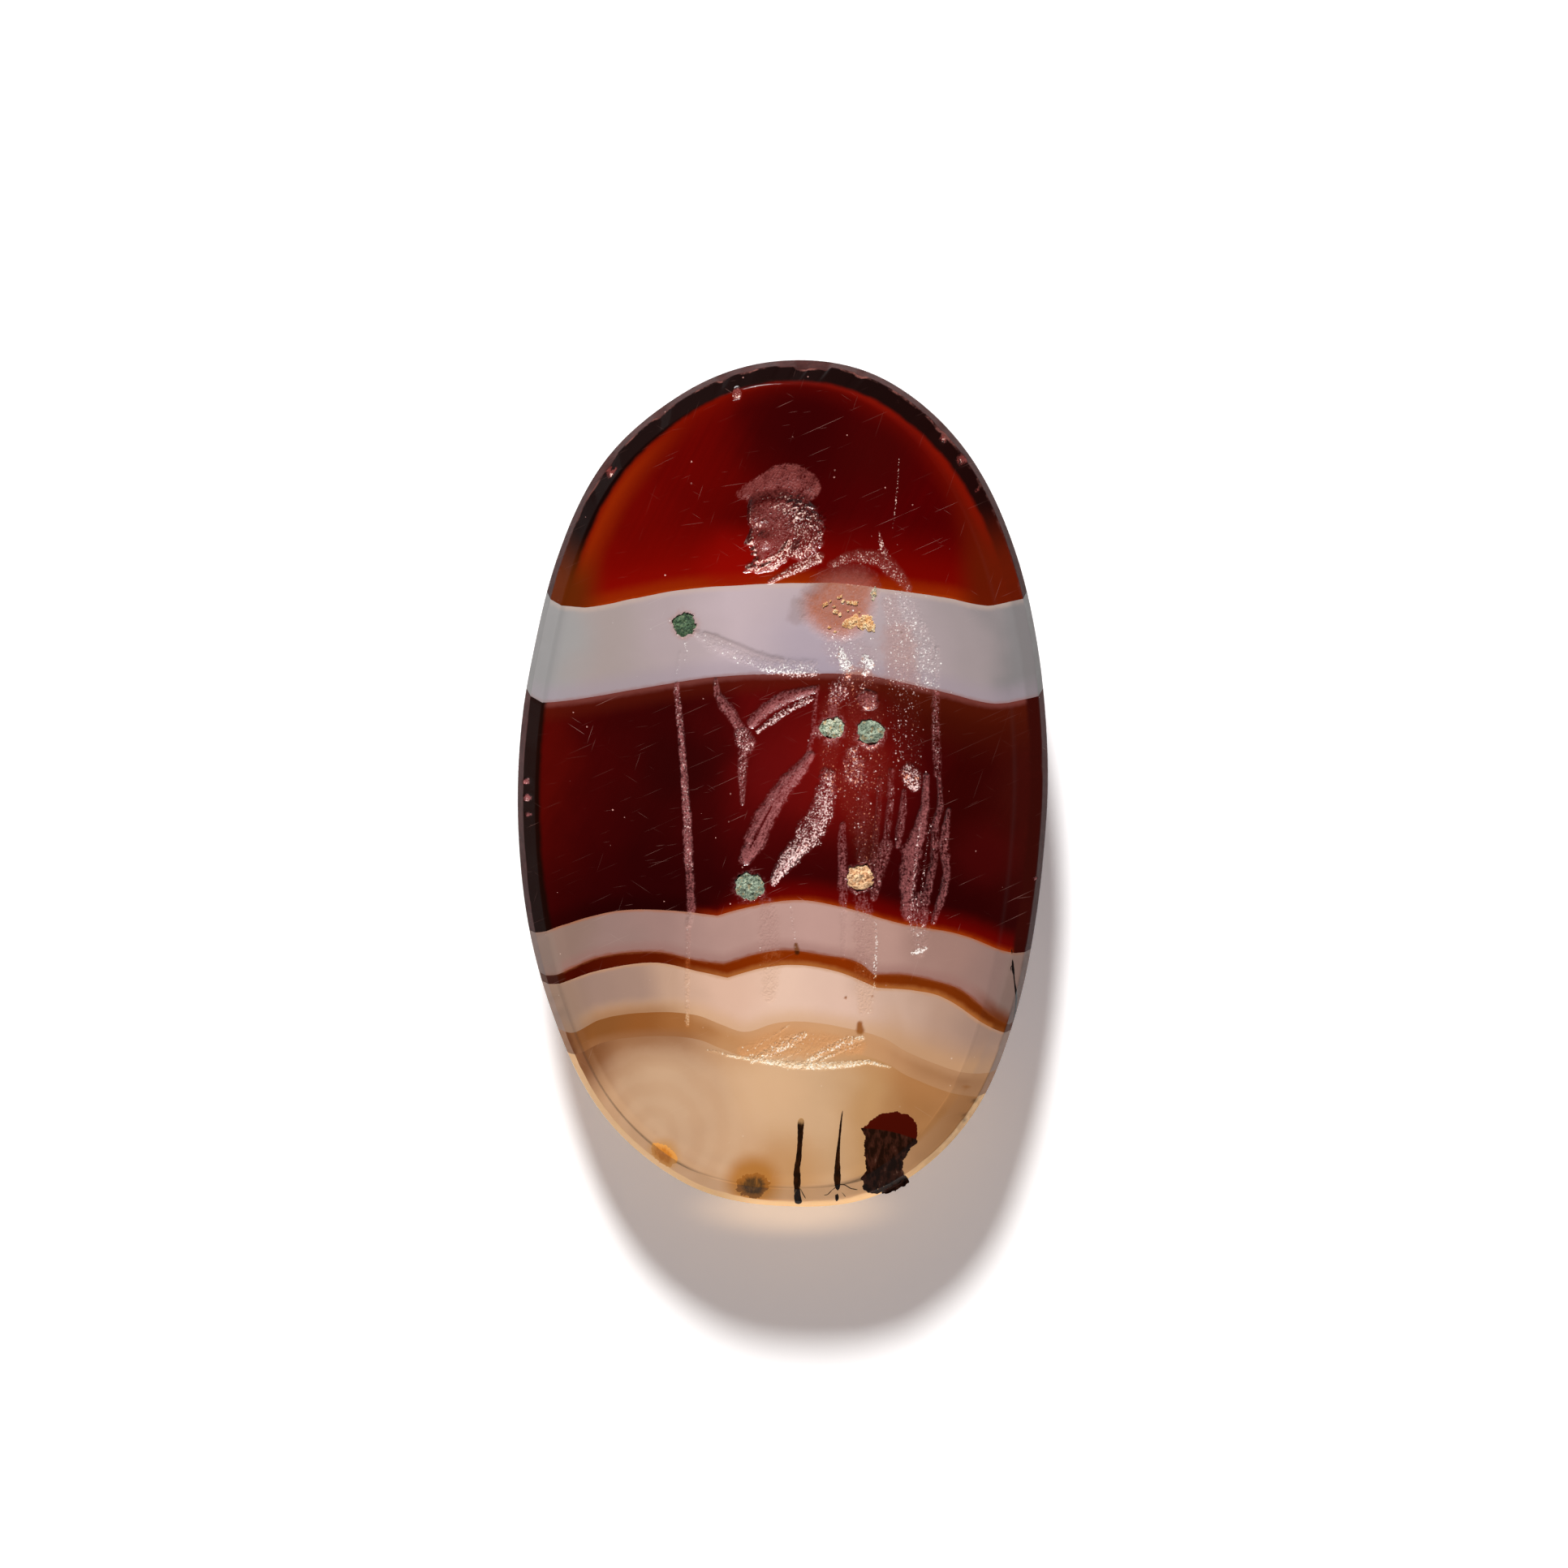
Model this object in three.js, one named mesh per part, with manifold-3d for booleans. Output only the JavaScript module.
import * as THREE from 'three';
import { mergeVertices } from 'three/addons/utils/BufferGeometryUtils.js';
import Module from 'manifold-3d';

const wasm = await Module();
wasm.setup();

// An oval ring stone of banded agate, engraved on its face with a standing draped figure.
// Millimetres, +Z up. The stone lies on its flat back, engraved face up, its head end towards +Y.

// Stone: oval and levels
const stoneWidth = 10.6;
const stoneLength = 17.0;
const backBevelHeight = 2.3;
const facetHeight = 0.3;
const faceBevelHeight = 0.25;
const crownRise = 0.35;

// Stone: how far each edge lies inside the girdle
const backInset = 0.9;
const arrisInset = 0.13;
const faceBevelLeft = 0.26;
const faceBevelRight = 0.62;
const faceBevelTop = 0.4;
const faceBevelBottom = 0.28;

// Bands: the surfaces between them lean by these angles, in degrees, and part by one seam
const bandSeam = 0.01;
const tanBandThickness = 0.48;
const upperBandLean = 29;
const lowerBandLean = 10;
const bandOverrun = 1;

// Engraving: the widths and depths of the wheels, drills and hollows
const fineWheelWidth = 0.13;
const fineWheelDepth = 0.1;
const mediumWheelWidth = 0.28;
const mediumWheelDepth = 0.18;
const broadWheelWidth = 0.52;
const broadWheelDepth = 0.24;
const staffWidth = 0.2;
const staffDepth = 0.14;
const chestRadius = 0.86;
const chestDepth = 0.42;
const headHalfWidth = 0.72;
const headHalfHeight = 0.86;
const headDepth = 0.36;
const capHalfWidth = 0.76;
const capHalfHeight = 0.34;
const capDepth = 0.3;
const hipRadius = 0.58;
const hipDepth = 0.26;
const knobRadius = 0.19;
const smallDrillRadius = 0.16;
const noseRadius = 0.1;
const lipRadius = 0.08;
const chinRadius = 0.14;

// Drill pits with old residue in them: pit radius across X, and depth below the face
const pitDepth = 0.5;
const fillSink = 0.06;
const fillClearance = 0.012;
const handPitRadius = 0.235;
const leftHipPitRadius = 0.27;
const rightHipPitRadius = 0.255;
const leftKneePitRadius = 0.28;
const rightKneePitRadius = 0.265;
const shoulderPitRadius = 0.1;
const chestDepositHalfWidth = 0.34;
const chestDepositHalfHeight = 0.17;
const chestDepositThickness = 0.09;

// Inclusions that come to the surface, each in a pocket with one clearance
const pocketClearance = 0.012;
const longNeedleWidth = 0.14;
const thinNeedleWidth = 0.1;
const needleDepth = 0.16;
const rimVeinWidth = 0.13;
const plumeCapHalfWidth = 0.54;
const plumeCapHalfHeight = 0.38;
const plumeStemHalfWidth = 0.36;
const plumeStemHalfHeight = 0.4;
const plumeFootHalfWidth = 0.4;
const plumeFootHalfHeight = 0.28;
const plumeDepth = 0.34;
const brownSpotRadius = 0.24;
const tanSpotHalfWidth = 0.28;
const tanSpotHalfHeight = 0.2;
const spotDepth = 0.2;

// Fineness
const rimSegments = 60;
const crownRings = 3;
const seamSteps = 14;
const grooveSides = 6;
const grooveSteps = 6;
const hollowSides = 14;
const hollowRings = 6;
const pitSides = 12;
const pitCapRings = 2;
const weldDistance = 0.0001;

const halfWidth = stoneWidth / 2;
const halfLength = stoneLength / 2;
const arrisLevel = backBevelHeight + facetHeight;
const faceEdgeLevel = arrisLevel + faceBevelHeight;
const crownLevel = faceEdgeLevel + crownRise;

// The oval's swell beyond a plain ellipse, every 15 degrees from +X towards +Y
const ovalSwellShares = [
  1.002, 1.006, 1.018, 1.036, 1.048, 1.031, 1.000, 0.999, 1.021, 1.011, 0.999, 1.003,
  1.008, 1.015, 1.025, 1.032, 1.042, 1.020, 1.001, 1.043, 1.063, 1.036, 1.011, 1.000,
];

// Places on the face are shares of the half width and the half length, from the oval's centre
const seamAShares = [[-0.748, 0.417], [-0.546, 0.445], [-0.402, 0.465], [-0.118, 0.482], [0.096, 0.485],
  [0.381, 0.468], [0.595, 0.445], [0.772, 0.418]];
const seamBShares = [[-0.91, 0.189], [-0.546, 0.235], [-0.261, 0.268], [0.023, 0.277], [0.307, 0.27],
  [0.595, 0.226], [0.803, 0.189]];
const seamCShares = [[-0.943, -0.358], [-0.83, -0.332], [-0.616, -0.295], [-0.402, -0.293],
  [-0.246, -0.304], [-0.173, -0.29], [0.054, -0.267], [0.206, -0.281], [0.451, -0.325],
  [0.665, -0.352], [0.879, -0.403]];
const seamDShares = [[-0.894, -0.457], [-0.687, -0.405], [-0.472, -0.39], [-0.32, -0.41],
  [-0.222, -0.417], [-0.087, -0.392], [0.008, -0.384], [0.148, -0.396], [0.295, -0.418],
  [0.341, -0.443], [0.442, -0.444], [0.592, -0.464], [0.665, -0.482], [0.858, -0.575]];
const seamEShares = [[-0.888, -0.478], [-0.687, -0.436], [-0.472, -0.416], [-0.32, -0.435],
  [-0.209, -0.45], [-0.087, -0.428], [0.032, -0.419], [0.206, -0.436], [0.353, -0.474],
  [0.5, -0.483], [0.592, -0.497], [0.843, -0.594]];
const seamFShares = [[-0.803, -0.59], [-0.687, -0.553], [-0.503, -0.534], [-0.32, -0.54],
  [-0.231, -0.561], [-0.145, -0.578], [-0.026, -0.557], [0.06, -0.553], [0.206, -0.565],
  [0.381, -0.595], [0.469, -0.628], [0.735, -0.687]];

const staffShares = [[-0.372, 0.334], [-0.399, 0.259], [-0.39, 0.162], [-0.372, 0.004], [-0.353, -0.188],
  [-0.35, -0.33], [-0.359, -0.562]];
const armShares = [[-0.372, 0.372], [-0.317, 0.345], [-0.231, 0.317], [-0.151, 0.286], [-0.035, 0.271],
  [0.17, 0.254]];
const leftBranchShares = [[-0.255, 0.246], [-0.231, 0.198], [-0.182, 0.155], [-0.139, 0.115]];
const rightBranchShares = [[0.112, 0.219], [0.002, 0.178], [-0.106, 0.134], [-0.145, 0.113]];
const branchTailShares = [[-0.139, 0.101], [-0.151, 0.048], [-0.151, -0.045]];
const neckShares = [[-0.015, 0.494], [0.055, 0.508], [0.124, 0.524]];
const shoulderRimShares = [[0.243, 0.524], [0.298, 0.536], [0.359, 0.528], [0.414, 0.501], [0.466, 0.465]];
const upperArmShares = [[0.482, 0.438], [0.512, 0.372], [0.524, 0.296], [0.5, 0.229]];
const waistShares = [[0.206, 0.286], [0.2, 0.219], [0.176, 0.143]];
const cloakShares = [[0.109, 0.052], [0.023, 0.025], [-0.044, -0.024], [-0.093, -0.076],
  [-0.124, -0.129], [-0.13, -0.177]];
const leftThighShares = [[0.154, 0.038], [0.148, -0.019], [0.127, -0.076], [0.078, -0.133],
  [0.023, -0.181], [-0.044, -0.234]];
const rightThighShares = [[0.317, 0.063], [0.323, -0.019], [0.317, -0.104], [0.298, -0.184]];
const middleFoldShares = [[0.222, -0.129], [0.222, -0.209], [0.225, -0.293]];
const cloakEdgeShares = [[0.567, 0.315], [0.58, 0.214], [0.586, 0.124], [0.58, 0.019]];
const firstFoldShares = [[0.457, -0.019], [0.445, -0.076], [0.433, -0.139]];
const secondFoldShares = [[0.54, 0.018], [0.537, -0.047], [0.515, -0.116], [0.491, -0.184],
  [0.472, -0.255], [0.469, -0.314]];
const thirdFoldShares = [[0.589, 0.018], [0.573, -0.074], [0.567, -0.184], [0.552, -0.255],
  [0.524, -0.31]];
const fourthFoldShares = [[0.625, -0.064], [0.613, -0.148], [0.616, -0.232], [0.589, -0.278],
  [0.567, -0.323]];
const leftShinShares = [[-0.087, -0.29], [-0.06, -0.352], [-0.029, -0.447], [-0.008, -0.546]];
const rightShinShares = [[0.298, -0.28], [0.31, -0.371], [0.323, -0.485], [0.292, -0.603]];
const leftFootShares = [[-0.087, -0.642], [-0.02, -0.622], [0.054, -0.598]];
const rightFootShares = [[0.13, -0.645], [0.2, -0.624], [0.265, -0.602]];
const groundShares = [[-0.228, -0.64], [-0.115, -0.651], [0.044, -0.661], [0.182, -0.661],
  [0.313, -0.655], [0.424, -0.67]];

const longNeedleShares = [[0.069, -0.784], [0.063, -0.845], [0.057, -0.899], [0.057, -0.958]];
const thinNeedleShares = [[0.225, -0.771], [0.213, -0.821], [0.209, -0.908], [0.205, -0.955]];
const rimVeinShares = [[0.867, -0.396], [0.873, -0.483], [0.876, -0.527], [0.867, -0.565]];

const headCentreShares = [-0.008, 0.6];
const capCentreShares = [-0.026, 0.709];
const noseCentreShares = [-0.15, 0.578];
const lipCentreShares = [-0.125, 0.548];
const chinCentreShares = [-0.11, 0.512];
const chestCentreShares = [0.225, 0.418];
const hipCentreShares = [0.255, 0.115];
const knobCentreShares = [-0.139, 0.101];
const smallDrillCentreShares = [0.32, 0.187];
const cornerDrillCentreShares = [0.482, 0.01];
const hemDrillCentreShares = [0.509, -0.356];
const handPitShares = [-0.37, 0.371];
const leftHipPitShares = [0.188, 0.128];
const rightHipPitShares = [0.329, 0.117];
const leftKneePitShares = [-0.124, -0.242];
const rightKneePitShares = [0.292, -0.221];
const shoulderPitShares = [0.356, 0.434];
const chestDepositShares = [0.283, 0.39];
const plumeCapShares = [0.408, -0.815];
const plumeStemShares = [0.402, -0.87];
const plumeFootShares = [0.381, -0.915];
const brownSpotShares = [-0.112, -0.94];
const tanSpotShares = [-0.448, -0.874];

// How the half width of a groove swells and tapers along it, from its start to its end
const boatTaperShares = [0.3, 0.85, 1, 0.85, 0.3];
const tailTaperShares = [1, 0.95, 0.75, 0.5, 0.25];
const risingTaperShares = [0.5, 0.5, 0.7, 1, 0.9];
const thighTaperShares = [0.5, 0.95, 1, 0.65, 0.2];
const needleTaperShares = [0.75, 0.9, 1, 1, 1];
const thornTaperShares = [0.2, 0.45, 0.7, 0.9, 1];
const leftHipRoundShare = 0.75;
const rightHipRoundShare = 1.15;
const rightKneeRoundShare = 0.86;
const chestLengthShare = 0.94;

// The radius of the oval at an angle, before it is set on its own box's middle
function ovalRadius(angle) {
  const across = Math.cos(angle) / halfWidth;
  const along = Math.sin(angle) / halfLength;
  const count = ovalSwellShares.length;
  const turn = ((angle / (2 * Math.PI)) % 1 + 1) % 1;
  const start = Math.floor(turn * count);
  const between = turn * count - start;
  const share = (step) => ovalSwellShares[(start + step + count) % count];
  const swell = smoothBetween([share(-1), share(0), share(1), share(2)], between);
  return swell / Math.hypot(across, along);
}

// A smooth value between the middle two of four evenly spaced ones
function smoothBetween([before, from, to, after], between) {
  const slopeFrom = (to - before) / 2;
  const slopeTo = (after - from) / 2;
  const square = between * between;
  const cube = square * between;
  return from * (2 * cube - 3 * square + 1) + slopeFrom * (cube - 2 * square + between)
    + to * (3 * square - 2 * cube) + slopeTo * (cube - square);
}

// The girdle's outline, moved so that its box is centred on the origin
const rawOutline = Array.from({ length: rimSegments }, (_, index) => {
  const angle = (index / rimSegments) * 2 * Math.PI;
  const radius = ovalRadius(angle);
  return new THREE.Vector2(radius * Math.cos(angle), radius * Math.sin(angle));
});
const outlineBox = new THREE.Box2().setFromPoints(rawOutline);
const outlineMiddle = outlineBox.getCenter(new THREE.Vector2());
const outlineHalf = outlineBox.getSize(new THREE.Vector2()).divideScalar(2);

// A level of the stone is the outline drawn in towards a middle of its own
function stoneLevel(insets, height) {
  const scaleX = 1 - (insets.left + insets.right) / 2 / outlineHalf.x;
  const scaleY = 1 - (insets.top + insets.bottom) / 2 / outlineHalf.y;
  const middleX = (insets.left - insets.right) / 2;
  const middleY = (insets.bottom - insets.top) / 2;
  return { scaleX, scaleY, middleX, middleY, height };
}

function evenInsets(inset) {
  return { left: inset, right: inset, top: inset, bottom: inset };
}

const backLevelRing = stoneLevel(evenInsets(backInset), 0);
const girdleRing = stoneLevel(evenInsets(0), backBevelHeight);
const arrisRing = stoneLevel(evenInsets(arrisInset), arrisLevel);
const faceRing = stoneLevel({
  left: arrisInset + faceBevelLeft,
  right: arrisInset + faceBevelRight,
  top: arrisInset + faceBevelTop,
  bottom: arrisInset + faceBevelBottom,
}, faceEdgeLevel);

// How far out a place lies in a ring: 0 at the ring's middle, 1 on the ring
function ringShare(ring, x, y) {
  const flatX = (x - ring.middleX) / ring.scaleX + outlineMiddle.x;
  const flatY = (y - ring.middleY) / ring.scaleY + outlineMiddle.y;
  return Math.hypot(flatX, flatY) / ovalRadius(Math.atan2(flatY, flatX));
}

// Height of the unengraved stone: a low dome on the face, and a straight slope on the bevel
function surfaceHeight(x, y) {
  const onFace = ringShare(faceRing, x, y);
  if (onFace <= 1) return faceEdgeLevel + crownRise * (1 - onFace * onFace);
  const onArris = ringShare(arrisRing, x, y);
  const alongBevel = (1 - 1 / onFace) / (1 / onArris - 1 / onFace);
  return faceEdgeLevel - faceBevelHeight * Math.min(alongBevel, 1);
}

function place([shareX, shareY]) {
  return new THREE.Vector2(shareX * halfWidth, shareY * halfLength);
}

// Solids
function toSolid(geometry) {
  const bare = geometry.clone();
  bare.deleteAttribute('normal');
  bare.deleteAttribute('uv');
  const merged = mergeVertices(bare, weldDistance);
  return new wasm.Manifold(new wasm.Mesh({
    numProp: 3,
    vertProperties: merged.attributes.position.array,
    triVerts: Uint32Array.from(merged.index.array),
  }));
}

function joinAll(solids) {
  return solids.reduce((joined, solid) => joined.add(solid));
}

// The stone before it is cut: rings joined from the middle of the back to the middle of the face
function stoneBlank() {
  const positions = [];
  const faces = [];
  const rings = [backLevelRing, girdleRing, arrisRing, faceRing];
  for (let step = 1; step < crownRings; step += 1) {
    const share = 1 - step / crownRings;
    rings.push({
      ...faceRing,
      scaleX: faceRing.scaleX * share,
      scaleY: faceRing.scaleY * share,
      height: faceEdgeLevel + crownRise * (1 - share * share),
    });
  }
  for (const ring of rings) {
    for (const point of rawOutline) {
      const x = (point.x - outlineMiddle.x) * ring.scaleX + ring.middleX;
      const y = (point.y - outlineMiddle.y) * ring.scaleY + ring.middleY;
      positions.push(x, y, ring.height);
    }
  }
  const backCentre = rings.length * rimSegments;
  const faceCentre = backCentre + 1;
  positions.push(backLevelRing.middleX, backLevelRing.middleY, 0);
  positions.push(faceRing.middleX, faceRing.middleY, crownLevel);
  const lastRing = (rings.length - 1) * rimSegments;
  for (let index = 0; index < rimSegments; index += 1) {
    const next = (index + 1) % rimSegments;
    faces.push(backCentre, next, index);
    faces.push(faceCentre, lastRing + index, lastRing + next);
    for (let level = 0; level < rings.length - 1; level += 1) {
      const low = level * rimSegments;
      const high = low + rimSegments;
      faces.push(low + index, low + next, high + next);
      faces.push(low + index, high + next, high + index);
    }
  }
  const geometry = new THREE.BufferGeometry();
  geometry.setAttribute('position', new THREE.Float32BufferAttribute(positions, 3));
  geometry.setIndex(faces);
  return toSolid(geometry);
}

// Everything on the foot side of a leaning, wavy seam; shift moves the seam towards the head
function footSide({ path, lean, drop = 0 }, shift) {
  const seam = new THREE.SplineCurve(path.map(place));
  const points = seam.getSpacedPoints(seamSteps);
  const reachX = halfWidth + bandOverrun;
  const reachY = 2 * halfLength + bandOverrun;
  const first = points[0];
  const last = points[points.length - 1];
  const shape = new THREE.Shape([
    new THREE.Vector2(-reachX, first.y),
    ...points,
    new THREE.Vector2(reachX, last.y),
    new THREE.Vector2(reachX, -reachY),
    new THREE.Vector2(-reachX, -reachY),
  ]);
  const geometry = new THREE.ExtrudeGeometry(shape, {
    depth: crownLevel + 2 * bandOverrun,
    bevelEnabled: false,
  });
  geometry.translate(0, shift - drop, -bandOverrun);
  const position = geometry.attributes.position;
  const slope = Math.tan(THREE.MathUtils.degToRad(lean));
  for (let index = 0; index < position.count; index += 1) {
    const below = faceEdgeLevel - position.getZ(index);
    position.setY(index, position.getY(index) + slope * below);
  }
  return toSolid(geometry);
}

// A value of a taper at a share of the way along it
function taperAt(taperShares, along) {
  const spot = along * (taperShares.length - 1);
  const start = Math.min(Math.floor(spot), taperShares.length - 2);
  return THREE.MathUtils.lerp(taperShares[start], taperShares[start + 1], spot - start);
}

// A boat-shaped solid along a path on the face; grow makes it larger all round
function sweep({ path, width, depth, taper = boatTaperShares, sink = 0, grow = 0 }) {
  const curve = new THREE.SplineCurve(path.map(place));
  const geometry = new THREE.CylinderGeometry(1, 1, 1, grooveSides, grooveSteps);
  const position = geometry.attributes.position;
  for (let index = 0; index < position.count; index += 1) {
    const end = position.getY(index);
    const along = end + 1 / 2;
    const swell = taperAt(taper, along);
    const centre = curve.getPoint(along);
    const tangent = curve.getTangent(along);
    const isEnd = along < 1 / grooveSteps / 2 || along > 1 - 1 / grooveSteps / 2;
    const endGrow = isEnd ? Math.sign(end) * grow : 0;
    const aside = position.getX(index) * ((width / 2) * swell + grow);
    const upwards = position.getZ(index) * (depth * swell + grow);
    const height = surfaceHeight(centre.x, centre.y) - sink;
    const x = centre.x + tangent.x * endGrow + tangent.y * aside;
    const y = centre.y + tangent.y * endGrow - tangent.x * aside;
    position.setXYZ(index, x, y, height + upwards);
  }
  return toSolid(geometry);
}

// An egg-shaped solid centred on the face
function egg({ centre, halfX, halfY, depth, turn = 0, sink = 0, grow = 0 }) {
  const spot = place(centre);
  const geometry = new THREE.SphereGeometry(1, hollowSides, hollowRings);
  geometry.rotateX(Math.PI / 2);
  geometry.scale(halfX + grow, halfY + grow, depth + grow);
  geometry.rotateZ(THREE.MathUtils.degToRad(turn));
  geometry.translate(spot.x, spot.y, surfaceHeight(spot.x, spot.y) - sink);
  return toSolid(geometry);
}

// A round-bottomed drill pit that runs out above the face, or the residue that fills it
function pitSolid({ centre, radius, round = 1 }, clearance, top) {
  const spot = place(centre);
  const level = surfaceHeight(spot.x, spot.y);
  const inner = radius - clearance;
  const bottom = level - pitDepth + clearance;
  const rod = new THREE.CapsuleGeometry(inner, pitDepth + crownRise, pitCapRings, pitSides);
  rod.rotateX(Math.PI / 2);
  rod.scale(1, (radius * round - clearance) / inner, 1);
  rod.computeBoundingBox();
  rod.translate(spot.x, spot.y, bottom - rod.boundingBox.min.z);
  const whole = toSolid(rod);
  return top === undefined ? whole : whole.trimByPlane([0, 0, -1], -(level - top));
}

const backToFace = stoneBlank();

// The engraving: every cut of the figure as one tool
const grooves = [
  { path: staffShares, width: staffWidth, depth: staffDepth, taper: risingTaperShares },
  { path: armShares, width: mediumWheelWidth, depth: mediumWheelDepth },
  { path: leftBranchShares, width: mediumWheelWidth, depth: fineWheelDepth },
  { path: rightBranchShares, width: mediumWheelWidth, depth: mediumWheelDepth },
  { path: branchTailShares, width: mediumWheelWidth, depth: fineWheelDepth, taper: tailTaperShares },
  { path: neckShares, width: mediumWheelWidth, depth: mediumWheelDepth },
  { path: shoulderRimShares, width: fineWheelWidth, depth: fineWheelDepth },
  { path: upperArmShares, width: broadWheelWidth, depth: mediumWheelDepth },
  { path: waistShares, width: broadWheelWidth, depth: broadWheelDepth },
  { path: cloakShares, width: broadWheelWidth, depth: mediumWheelDepth, taper: thighTaperShares },
  { path: leftThighShares, width: broadWheelWidth, depth: broadWheelDepth, taper: thighTaperShares },
  { path: rightThighShares, width: broadWheelWidth, depth: broadWheelDepth },
  { path: middleFoldShares, width: fineWheelWidth, depth: fineWheelDepth },
  { path: cloakEdgeShares, width: mediumWheelWidth, depth: mediumWheelDepth },
  { path: firstFoldShares, width: fineWheelWidth, depth: fineWheelDepth },
  { path: secondFoldShares, width: mediumWheelWidth, depth: mediumWheelDepth },
  { path: thirdFoldShares, width: fineWheelWidth, depth: fineWheelDepth },
  { path: fourthFoldShares, width: fineWheelWidth, depth: fineWheelDepth },
  { path: leftShinShares, width: broadWheelWidth, depth: mediumWheelDepth, taper: thighTaperShares },
  { path: rightShinShares, width: broadWheelWidth, depth: mediumWheelDepth, taper: thighTaperShares },
  { path: leftFootShares, width: mediumWheelWidth, depth: mediumWheelDepth },
  { path: rightFootShares, width: mediumWheelWidth, depth: mediumWheelDepth },
  { path: groundShares, width: fineWheelWidth, depth: fineWheelDepth },
];

const hollows = [
  { centre: headCentreShares, halfX: headHalfWidth, halfY: headHalfHeight, depth: headDepth },
  { centre: capCentreShares, halfX: capHalfWidth, halfY: capHalfHeight, depth: capDepth },
  { centre: noseCentreShares, halfX: noseRadius, halfY: noseRadius, depth: noseRadius },
  { centre: lipCentreShares, halfX: lipRadius, halfY: lipRadius, depth: lipRadius },
  { centre: chinCentreShares, halfX: chinRadius, halfY: chinRadius, depth: chinRadius },
  { centre: chestCentreShares, halfX: chestRadius, halfY: chestRadius * chestLengthShare,
    depth: chestDepth },
  { centre: hipCentreShares, halfX: hipRadius, halfY: hipRadius, depth: hipDepth },
  { centre: knobCentreShares, halfX: knobRadius, halfY: knobRadius, depth: knobRadius },
  { centre: smallDrillCentreShares, halfX: smallDrillRadius, halfY: smallDrillRadius,
    depth: smallDrillRadius },
  { centre: cornerDrillCentreShares, halfX: smallDrillRadius, halfY: smallDrillRadius,
    depth: smallDrillRadius },
  { centre: hemDrillCentreShares, halfX: smallDrillRadius, halfY: smallDrillRadius,
    depth: smallDrillRadius },
];

const pits = {
  green_fill_hand: { centre: handPitShares, radius: handPitRadius },
  green_fill_left_hip: { centre: leftHipPitShares, radius: leftHipPitRadius, round: leftHipRoundShare },
  green_fill_right_hip: { centre: rightHipPitShares, radius: rightHipPitRadius,
    round: rightHipRoundShare },
  green_fill_left_knee: { centre: leftKneePitShares, radius: leftKneePitRadius },
  ochre_fill_right_knee: { centre: rightKneePitShares, radius: rightKneePitRadius,
    round: rightKneeRoundShare },
  ochre_fill_shoulder: { centre: shoulderPitShares, radius: shoulderPitRadius },
};

const engraving = joinAll([
  ...grooves.map(sweep),
  ...hollows.map(egg),
  ...Object.values(pits).map((pit) => pitSolid(pit, 0)),
]);

// The inclusions: bodies of other mineral that reach the polished surface and end flush with it
function inclusionSolids(grow) {
  const plume = [
    { centre: plumeCapShares, halfX: plumeCapHalfWidth, halfY: plumeCapHalfHeight },
    { centre: plumeStemShares, halfX: plumeStemHalfWidth, halfY: plumeStemHalfHeight },
    { centre: plumeFootShares, halfX: plumeFootHalfWidth, halfY: plumeFootHalfHeight },
  ];
  return {
    needle_long: sweep({ path: longNeedleShares, width: longNeedleWidth, depth: needleDepth,
      taper: needleTaperShares, grow }),
    needle_thin: sweep({ path: thinNeedleShares, width: thinNeedleWidth, depth: needleDepth,
      taper: thornTaperShares, grow }),
    plume_inclusion: joinAll(plume.map((lobe) => egg({ ...lobe, depth: plumeDepth, grow }))),
    rim_vein: sweep({ path: rimVeinShares, width: rimVeinWidth, depth: needleDepth, grow }),
    brown_spot: egg({ centre: brownSpotShares, halfX: brownSpotRadius, halfY: brownSpotRadius,
      depth: spotDepth, grow }),
    tan_spot: egg({ centre: tanSpotShares, halfX: tanSpotHalfWidth, halfY: tanSpotHalfHeight,
      depth: spotDepth, grow }),
  };
}

const pockets = joinAll(Object.values(inclusionSolids(pocketClearance)));
const cutTool = engraving.add(pockets);

// The largest body of a cut band: slivers that a cut leaves beside a seam come away
function mainBody(solid) {
  return solid.decompose().reduce((most, body) => (body.volume() > most.volume() ? body : most));
}

const seams = [
  { path: seamAShares, lean: upperBandLean },
  { path: seamBShares, lean: upperBandLean },
  { path: seamCShares, lean: lowerBandLean },
  { path: seamDShares, lean: lowerBandLean },
  { path: seamEShares, lean: lowerBandLean },
  { path: seamFShares, lean: lowerBandLean },
  { path: seamFShares, lean: lowerBandLean, drop: tanBandThickness },
];

const bandFinishes = [
  ['sard_cap', { color: 0x6b0d03, roughness: 0.18 }],
  ['white_band_upper', { color: 0xa89a9b, roughness: 0.3 }],
  ['sard_core', { color: 0x470504, roughness: 0.2 }],
  ['white_band_middle', { color: 0xb28f83, roughness: 0.3 }],
  ['brown_line', { color: 0x8a3a05, roughness: 0.25 }],
  ['white_band_lower', { color: 0xcfae97, roughness: 0.3 }],
  ['tan_band', { color: 0xb98553, roughness: 0.28 }],
  ['honey_base', { color: 0xc89c74, roughness: 0.28 }],
];

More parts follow.
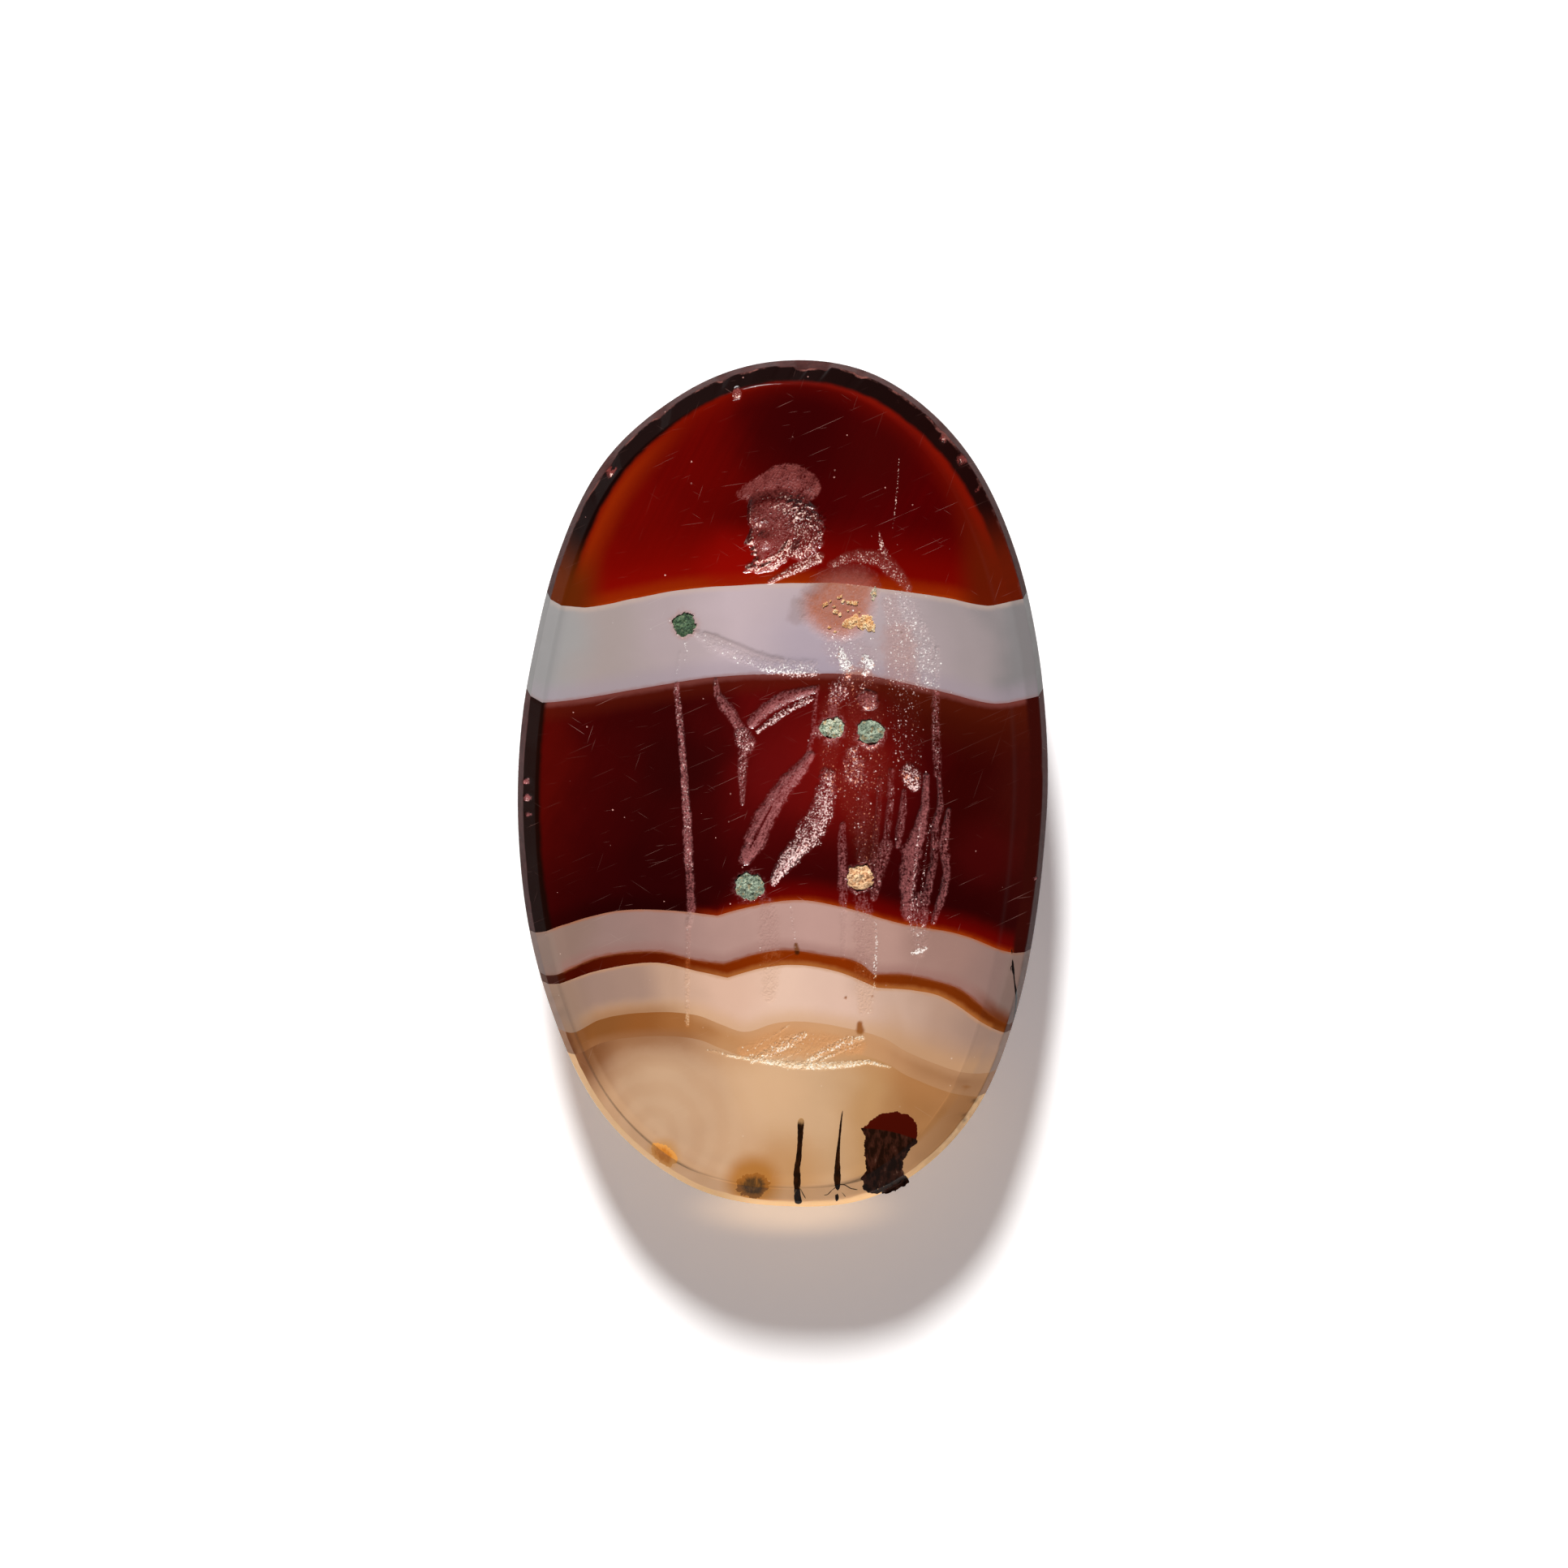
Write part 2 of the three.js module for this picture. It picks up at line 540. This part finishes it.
const greenFinish = { color: 0x8f9c7c, roughness: 0.9 };
const ochreFinish = { color: 0xbf9063, roughness: 0.9 };
const darkMineralFinish = { color: 0x3a1608, roughness: 0.35 };
const fillFinishes = {
  green_fill_hand: { color: 0x56704f, roughness: 0.9 },
  green_fill_left_hip: greenFinish,
  green_fill_right_hip: greenFinish,
  green_fill_left_knee: { color: 0x9aa88c, roughness: 0.9 },
  ochre_fill_right_knee: ochreFinish,
  ochre_fill_shoulder: ochreFinish,
};
const inclusionFinishes = {
  needle_long: darkMineralFinish,
  needle_thin: darkMineralFinish,
  plume_inclusion: { color: 0x5a1c0a, roughness: 0.4 },
  rim_vein: { color: 0x1c0a06, roughness: 0.35 },
  brown_spot: { color: 0x6b3c12, roughness: 0.4 },
  tan_spot: { color: 0xa07748, roughness: 0.4 },
};

function toMesh(name, solid, finish) {
  const { vertProperties, triVerts } = solid.getMesh();
  const geometry = new THREE.BufferGeometry();
  geometry.setAttribute('position', new THREE.BufferAttribute(vertProperties, 3));
  geometry.setIndex(new THREE.BufferAttribute(triVerts, 1));
  geometry.computeVertexNormals();
  const material = new THREE.MeshStandardMaterial({ metalness: 0, ...finish });
  const mesh = new THREE.Mesh(geometry, material);
  mesh.name = name;
  return mesh;
}

const intaglioGem = new THREE.Group();

bandFinishes.forEach(([name, finish], index) => {
  const above = seams[index - 1];
  const below = seams[index];
  let band = backToFace;
  if (above) band = band.intersect(footSide(above, -bandSeam / 2));
  if (below) band = band.subtract(footSide(below, bandSeam / 2));
  intaglioGem.add(toMesh(name, mainBody(band.subtract(cutTool)), finish));
});

for (const [name, pit] of Object.entries(pits)) {
  intaglioGem.add(toMesh(name, pitSolid(pit, fillClearance, fillSink), fillFinishes[name]));
}

// The chest deposit lies on the floor of the chest hollow
const chestFloor = egg({
  centre: chestCentreShares,
  halfX: chestRadius,
  halfY: chestRadius * chestLengthShare,
  depth: chestDepth,
  grow: -fillClearance,
});
const depositBlob = egg({
  centre: chestDepositShares,
  halfX: chestDepositHalfWidth,
  halfY: chestDepositHalfHeight,
  depth: chestDepositThickness,
  sink: chestDepth,
});
intaglioGem.add(toMesh('ochre_fill_chest', mainBody(chestFloor.intersect(depositBlob)), ochreFinish));

const inclusions = inclusionSolids(0);
for (const [name, solid] of Object.entries(inclusions)) {
  const flush = mainBody(solid.intersect(backToFace));
  intaglioGem.add(toMesh(name, flush, inclusionFinishes[name]));
}

export default intaglioGem;
